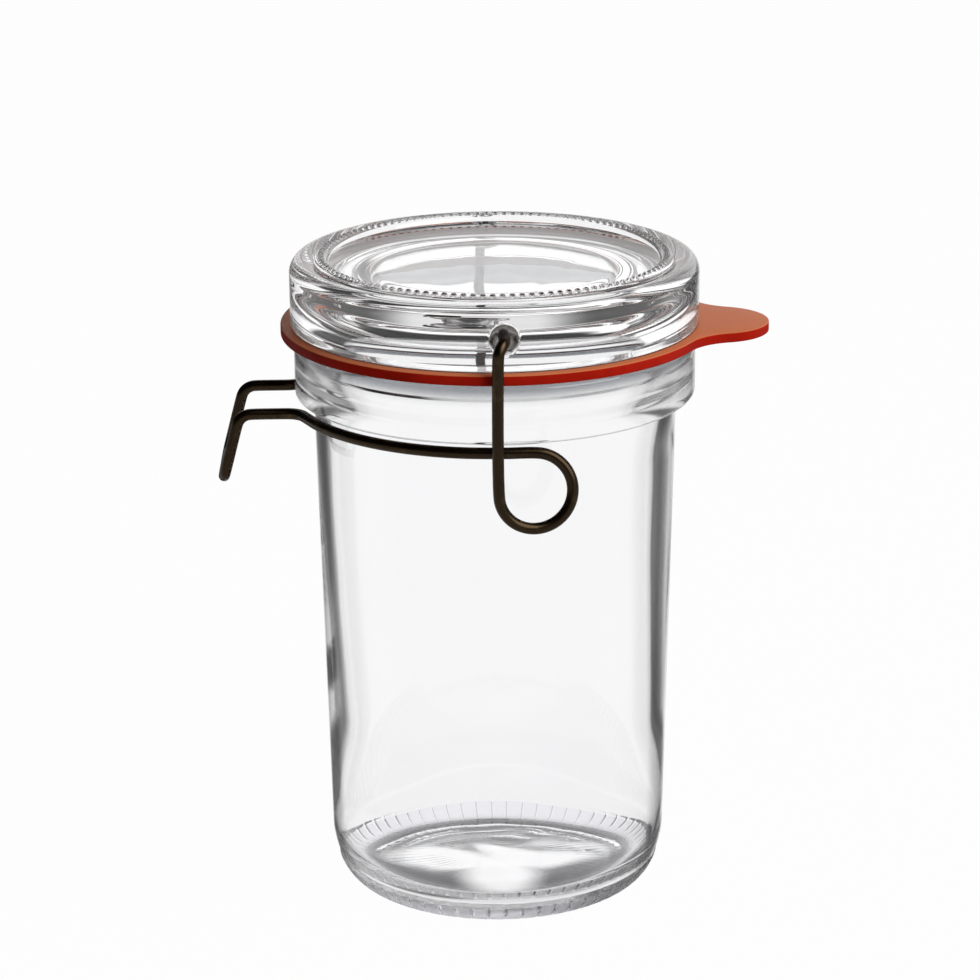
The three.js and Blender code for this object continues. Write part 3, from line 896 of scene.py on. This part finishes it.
def body_glass(scene):
    """The body's glass: frosted bars at the heel tinted lilac grey as painted shade, painted shade in the
    grooves between them, a duller collar and a rim painted grey as the ring's shade.
    """
    sizes, colours = scene.jar_sizes, scene.jar_colours
    foot = sizes.collar_radius - sizes.ledge_width - sizes.body_taper - sizes.heel_width
    foot_edge = (foot - 0.5 * MM, foot + 0.1 * MM)
    bar_top = (sizes.bar_height - 0.9 * MM, sizes.bar_height - 0.5 * MM)
    bar_face, groove_edge = (0.06, 0.14), (0.04, 0.07)
    ledge_z = sizes.height - sizes.collar_height
    collar_foot = (ledge_z, ledge_z + 1 * MM)
    rim_shade_heights = (sizes.height - 5.5 * MM, sizes.height - 1.6 * MM)

    def marks(nodes, place):
        x, y, z = nodes.axes(place)
        outside = nodes.eased(nodes.length(x, y), *foot_edge)
        on_bars = outside * (1 - nodes.eased(z, *bar_top))
        bar = nodes.math("ARCTAN2", y, x) * (sizes.bars / FULL_TURN)
        from_groove = nodes.math("PINGPONG", bar, 0.5)
        return [
            # Frosted bars: the roughness is real frosting, the lilac grey tint is painted shade.
            (on_bars * nodes.eased(from_groove, *bar_face), colours.glass_frosted_shaded, 0.35),
            # Painted shade in the grooves between the bars.
            (on_bars * (1 - nodes.eased(from_groove, *groove_edge)), colours.glass_groove_shade, 0.0),
            (nodes.eased(z, *collar_foot), colours.glass, 0.09),
            # Painted shade of the ring on the rim's top band.
            (nodes.eased(z, *rim_shade_heights), colours.glass_rim_shade, 0.0),
        ]

    return clear_glass("body_glass", colours, marks)


def lid_glass(scene):
    """The lid's glass, clear but for the sockets, whose bores are painted dark as the shade inside them."""
    sizes, colours = scene.jar_lid, scene.jar_colours
    mouth = sizes.socket_bore + sizes.socket_flare
    floor_y = sizes.radius - sizes.socket_depth
    bore_edge = (mouth, mouth + 0.4 * MM)
    mouth_edge = (sizes.radius - 1.0 * MM, sizes.radius - 0.3 * MM)
    floor_edge = (floor_y - 0.5 * MM, floor_y - 0.1 * MM)

    def marks(nodes, place):
        x, y, z = nodes.axes(place)
        outwards = nodes.length(y)
        in_bore = 1 - nodes.eased(nodes.length(x, z - CLIP_PIVOT[2]), *bore_edge)
        behind_mouth = 1 - nodes.eased(outwards, *mouth_edge)
        # Painted shade inside each socket's bore, between its mouth and its floor.
        socket_shade = in_bore * behind_mouth * nodes.eased(outwards, *floor_edge)
        return [(socket_shade, colours.glass_socket_shade, 0.2)]

    return clear_glass("lid_glass", colours, marks)


def orange_rubber(colours):
    """Smooth moulded rubber: mottled and finely grained, paler on its flat top face as painted sheen, and
    darker under the lid as painted shade.
    """
    mould_pitch = 0.9 * MM
    flat_edge = (RING_TOP.z - 0.45 * MM, RING_TOP.z - 0.25 * MM)
    lid_edge = (LID_TOP.y - 0.5 * MM, LID_TOP.y + 0.2 * MM)
    material = bpy.data.materials.new("orange_rubber")
    nodes = Nodes(material)
    place = nodes.object_place()
    clouds = nodes.eased(nodes.noise(place, scale=90.0, detail=4.0, roughness=0.6), 0.3, 0.75)
    grain = nodes.noise(place, scale=2600.0, detail=2.0)
    x, y, z = nodes.axes(place)
    from_axis = nodes.length(x, y)
    mould_rings = nodes.math("SINE", from_axis * (FULL_TURN / mould_pitch))
    mottled = nodes.mixed(clouds, rgba(colours.rubber), rgba(colours.rubber_dark))
    # Painted sheen: the flat top face is paler.
    with_top_sheen = nodes.mixed(nodes.eased(z, *flat_edge), mottled, rgba(colours.top_sheen))
    nodes.surface(nodes.add("ShaderNodeBsdfPrincipled", None, {
        # Painted shade on the part of the ring under the lid.
        "Base Color": nodes.mixed(nodes.eased(from_axis, *lid_edge), rgba(colours.rubber_shade_under_lid), with_top_sheen),
        "Roughness": 0.38 + grain * 0.16,
        "Specular IOR Level": 0.05,
        "Specular Tint": rgba(colours.rubber_shine),
        "Normal": nodes.bump(grain * 0.5 + mould_rings * 0.12, distance=0.03 * MM),
    }))
    return material


def bronzed_wire(colours):
    """Drawn spring wire with a dark bronze skin: streaks along its length and lighter rubbed patches."""
    material = bpy.data.materials.new("bronzed_wire")
    nodes = Nodes(material)
    unwrapped = nodes.out(nodes.add("ShaderNodeUVMap", {"uv_map": "wire"}), "UV")
    drawn = nodes.scaled(unwrapped, (160.0, 26.0, 1.0))
    streaks = nodes.noise(drawn, scale=1.0, detail=3.0, roughness=0.6)
    place = nodes.object_place()
    rubbed = nodes.eased(nodes.noise(place, scale=260.0, detail=4.0, roughness=0.65), 0.52, 0.78)
    specks = nodes.noise(place, scale=3200.0, detail=2.0)
    wear = rubbed * 0.55 + streaks * 0.25
    nodes.surface(nodes.add("ShaderNodeBsdfPrincipled", None, {
        "Base Color": nodes.mixed(wear, rgba(colours.bronze), rgba(colours.bronze_worn)),
        "Metallic": 1.0,
        "Roughness": 0.2 + streaks * 0.12 + specks * 0.06,
        "Normal": nodes.bump(streaks * 0.7 + specks * 0.3, distance=0.02 * MM),
    }))
    return material


# Stage

def ray_shares(nodes):
    """Which rays are the camera's, which came only through glass, and which were mirrored on their way."""
    path = nodes.add("ShaderNodeLightPath")
    camera = nodes.out(path, "Is Camera Ray")
    mirrored = nodes.out(path, "Glossy Depth") > 0.5
    lighting = nodes.out(path, "Diffuse Depth") > 0.5
    glossy = nodes.out(path, "Is Glossy Ray").or_(nodes.out(path, "Is Transmission Ray")) * (1 - lighting)
    return camera, glossy * (1 - mirrored), glossy * mirrored


def floor_finish(stage, colours):
    """A pale floor that the camera sees white. Glass sees past it, but for a painted shadow under the jar
    with two painted pools of light in it, and a painted dark patch behind the jar that only reflections see.
    """
    white = (1.0, 1.0, 1.0, 1.0)
    paler = (0.8, 0.8, 0.8, 1.0)
    shade_tint = (0.92, 0.92, 1.0, 1.0)
    shade_radius, mirrored_radius = 30 * MM, 38 * MM
    mirrored_from = (-5 * MM, 10 * MM)
    material = bpy.data.materials.new("studio_floor")
    nodes = Nodes(material)
    camera, through, mirrored = ray_shares(nodes)
    place = nodes.object_place()
    x, y, _ = nodes.axes(place)

    def patch(half_x, half_y, blur, middle_y=0.0):
        from_middle = nodes.length(x / half_x, (y - middle_y) / half_y)
        return 1 - nodes.eased(from_middle, 1 - blur, 1 + blur)

    # Painted shadow under the jar and painted pools of light in it, for rays through the glass; a painted
    # dark patch behind the jar, for reflected rays.
    under = patch(shade_radius, shade_radius, blur=0.1)
    wide_light_pool = patch(24 * MM, 10.5 * MM, blur=0.26, middle_y=4 * MM)
    long_light_pool = patch(7.7 * MM, 18.7 * MM, blur=0.5, middle_y=-10 * MM)
    behind = patch(mirrored_radius, mirrored_radius, blur=0.1) * nodes.eased(y, *mirrored_from)
    shaded = under * (1 - wide_light_pool.or_(long_light_pool)) * through + behind * mirrored
    grain = nodes.noise(place, scale=400.0) * 0.04
    tint = nodes.mixed(grain, rgba(colours.floor), paler)
    diffuse = nodes.add("ShaderNodeBsdfDiffuse", None, {"Color": tint})
    glow = nodes.add("ShaderNodeEmission", None, {"Color": white, "Strength": 1.0})
    shade = nodes.add("ShaderNodeEmission", None, {"Color": shade_tint, "Strength": stage.shade})
    seen = nodes.shaders(camera * stage.floor_glow, diffuse, glow)
    past = nodes.shaders(shaded, nodes.add("ShaderNodeBsdfTransparent"), shade)
    nodes.surface(nodes.shaders(through + mirrored, seen, past))
    return material


def surroundings(stage):
    """White to the camera and, below the ceiling, through glass.

    After a reflection: a pale window between dark walls, a dark ceiling, and a pale floor with two dark flags
    on it, greyer in front of the jar.
    """
    softness = 0.12
    horizon = (-0.05, 0.05)
    front_edge = (-0.5, 0.1)
    ceiling_mirrored, ceiling_through = (0.58, 0.78), (0.3, 0.5)
    world = bpy.data.worlds.new("studio")
    world.cycles.sampling_method = "NONE"
    bpy.context.scene.world = world
    nodes = Nodes(world)
    camera, through, mirrored = ray_shares(nodes)
    x, y, height = nodes.axes(nodes.out(nodes.add("ShaderNodeTexCoord"), "Generated"))
    level = nodes.length(x, y) + 1e-6

    def cover(place, half_width):
        facing = (x * math.cos(place) + y * math.sin(place)) / level
        return nodes.eased(facing, math.cos(half_width + softness), math.cos(half_width - softness))

    def towards(mask, before, after):
        return before + mask * (after - before)

    low = 1 - nodes.eased(height, *horizon)
    window = cover(stage.window_place, stage.window_width)
    front = 1 - nodes.eased(y / level, *front_edge)
    upper = towards(window, stage.dark_level, stage.window_level)
    walls = towards(1 - low, stage.side_level, upper)
    walls = towards(front * low, walls, stage.front_level)
    for place in (stage.flag_left, stage.flag_right):
        walls = towards(cover(place, stage.flag_width) * low, walls, stage.flag_level)
    reflected = towards(nodes.eased(height, *ceiling_mirrored), walls, stage.ceiling_level)
    clear = towards(nodes.eased(height, *ceiling_through), stage.seen_through, stage.ceiling_level)
    plain = (1 - camera) * (1 - through) * (1 - mirrored)
    strength = camera + through * clear + mirrored * reflected + plain * stage.ambient
    background = nodes.add("ShaderNodeBackground", None, {"Color": (1, 1, 1, 1), "Strength": strength})
    nodes.surface(background, "ShaderNodeOutputWorld")


def studio_floor(stage, colours):
    """A round floor: rings of points about the origin at the height of the base."""
    radius = np.linspace(0, stage.floor_radius, FLOOR_RINGS + 1)[1:, None]
    grid = turned(radius, np.zeros_like(radius), -even_angles(FLOOR_COLUMNS))
    rows, columns = grid.shape[:2]
    vertices = np.concatenate([grid.reshape(-1, 3), [(0, 0, 0)]])
    middle = fan(0, columns, rows * columns)[:, ::-1]
    floor = mesh_object("studio_floor", vertices, grid_faces(rows, columns, False), middle)
    floor.data.materials.append(floor_finish(stage, colours))


def photo_camera(stage):
    """The camera on its circle round the jar, looking down at it."""
    data = bpy.data.cameras.new("camera")
    data.lens = stage.lens
    data.sensor_width = 36.0
    data.clip_start = 10 * MM
    before_jar = Matrix.Translation((0, -stage.distance, stage.camera_height))
    stand = Matrix.Rotation(-stage.yaw, 4, "Z") @ before_jar
    heading = Matrix.Rotation(-stage.yaw - stage.pan, 4, "Z")
    tilt = Matrix.Rotation(math.pi / 2 - stage.pitch, 4, "X")
    roll = Matrix.Rotation(stage.roll, 4, "Z")
    place = Matrix.Translation(stand.translation) @ heading @ tilt @ roll
    bpy.context.scene.camera = placed("camera", data, place)


def key_light(stage):
    """A large soft box, up on the right in front, aimed at the jar."""
    place = np.array((1.5, -1.2, 1.6))
    aim = np.array((0.0, 0.0, 0.1)) - place
    data = bpy.data.lights.new("key_light", "AREA")
    data.shape = "RECTANGLE"
    data.size = stage.key_width
    data.size_y = stage.key_height
    data.energy = stage.key_power
    heading = Matrix.Rotation(math.atan2(aim[1], aim[0]) - math.pi / 2, 4, "Z")
    fall = Matrix.Rotation(math.acos(-aim[2] / np.linalg.norm(aim)), 4, "X")
    light = placed("key_light", data, Matrix.Translation(place) @ heading @ fall)
    light.visible_transmission = False


# Operators

class JarOperator:
    """What the jar's operators share."""
    bl_options = {"REGISTER"}


class AddGlassBody(JarOperator, bpy.types.Operator):
    """Adds the glass body with its collar, its barred heel and its pushed-up base"""
    bl_idname = "preserving_jar.add_body"
    bl_label = "Glass body"

    def execute(self, context):
        grid = body_grid(context.scene.jar_sizes)
        body = capped_grid("jar_glass_body", grid[1:-1], grid[0, 0], grid[-1, 0])
        finished(body, "jar", body_glass(context.scene))
        return {"FINISHED"}


class AddGlassLid(JarOperator, bpy.types.Operator):
    """Adds the glass lid with its beaded crest, its sunk panel and its two sockets"""
    bl_idname = "preserving_jar.add_lid"
    bl_label = "Glass lid"

    def execute(self, context):
        sizes = context.scene.jar_lid
        grid = lid_grid(sizes)
        lid = capped_grid("lid_glass_cap", grid[1:-1], grid[0, 0], grid[-1, 0])
        for side in (-1, 1):
            cut(lid, socket_cutter(sizes, side))
        finished(lid, "lid", lid_glass(context.scene))
        return {"FINISHED"}


class AddSealingRing(JarOperator, bpy.types.Operator):
    """Adds the flat rubber ring with its pull tab"""
    bl_idname = "preserving_jar.add_ring"
    bl_label = "Sealing ring"

    def execute(self, context):
        ring = looped_grid("rubber_seal", ring_grid(context.scene.jar_ring))
        finished(ring, "sealing_ring", orange_rubber(context.scene.jar_colours))
        return {"FINISHED"}


class AddWireClip(JarOperator, bpy.types.Operator):
    """Adds the clip, bent from one spring wire"""
    bl_idname = "preserving_jar.add_clip"
    bl_label = "Wire clip"

    def execute(self, context):
        grid, along, path = wire_grid(context.scene.jar_wire)
        clip = capped_grid("spring_wire_clip", grid, path[0], path[-1])
        unwrap_wire(clip, along)
        finished(clip, "wire_clip", bronzed_wire(context.scene.jar_colours))
        return {"FINISHED"}


class AddStage(JarOperator, bpy.types.Operator):
    """Adds the floor, the surroundings, the light and the camera"""
    bl_idname = "preserving_jar.add_stage"
    bl_label = "Studio stage"

    def execute(self, context):
        scene = context.scene
        scene.view_settings.view_transform = "Standard"
        scene.cycles.max_bounces = LIGHT_BOUNCES
        scene.cycles.transmission_bounces = LIGHT_BOUNCES
        scene.cycles.glossy_bounces = LIGHT_BOUNCES
        studio_floor(scene.jar_stage, scene.jar_colours)
        surroundings(scene.jar_stage)
        key_light(scene.jar_stage)
        photo_camera(scene.jar_stage)
        return {"FINISHED"}


class JarPanel(bpy.types.Panel):
    """Lists the jar's pieces in the sidebar"""
    bl_idname = "VIEW3D_PT_preserving_jar"
    bl_label = "Preserving jar"
    bl_space_type = "VIEW_3D"
    bl_region_type = "UI"
    bl_category = "Jar"

    def draw(self, context):
        for operator in OPERATORS:
            self.layout.operator(operator.bl_idname)
        for group in PROPERTY_GROUPS:
            settings = getattr(context.scene, group)
            for name in settings.__annotations__:
                self.layout.prop(settings, name)


OPERATORS = (AddGlassBody, AddGlassLid, AddSealingRing, AddWireClip, AddStage)
CLASSES = (*PROPERTY_GROUPS.values(), *OPERATORS, JarPanel)


def register():
    for item in CLASSES:
        bpy.utils.register_class(item)
    for name, group in PROPERTY_GROUPS.items():
        setattr(bpy.types.Scene, name, bpy.props.PointerProperty(type=group))


def unregister():
    for name in PROPERTY_GROUPS:
        delattr(bpy.types.Scene, name)
    for item in reversed(CLASSES):
        bpy.utils.unregister_class(item)


def main():
    register()
    bpy.ops.preserving_jar.add_body()
    bpy.ops.preserving_jar.add_lid()
    bpy.ops.preserving_jar.add_ring()
    bpy.ops.preserving_jar.add_clip()
    bpy.ops.preserving_jar.add_stage()


if __name__ == "__main__":
    main()
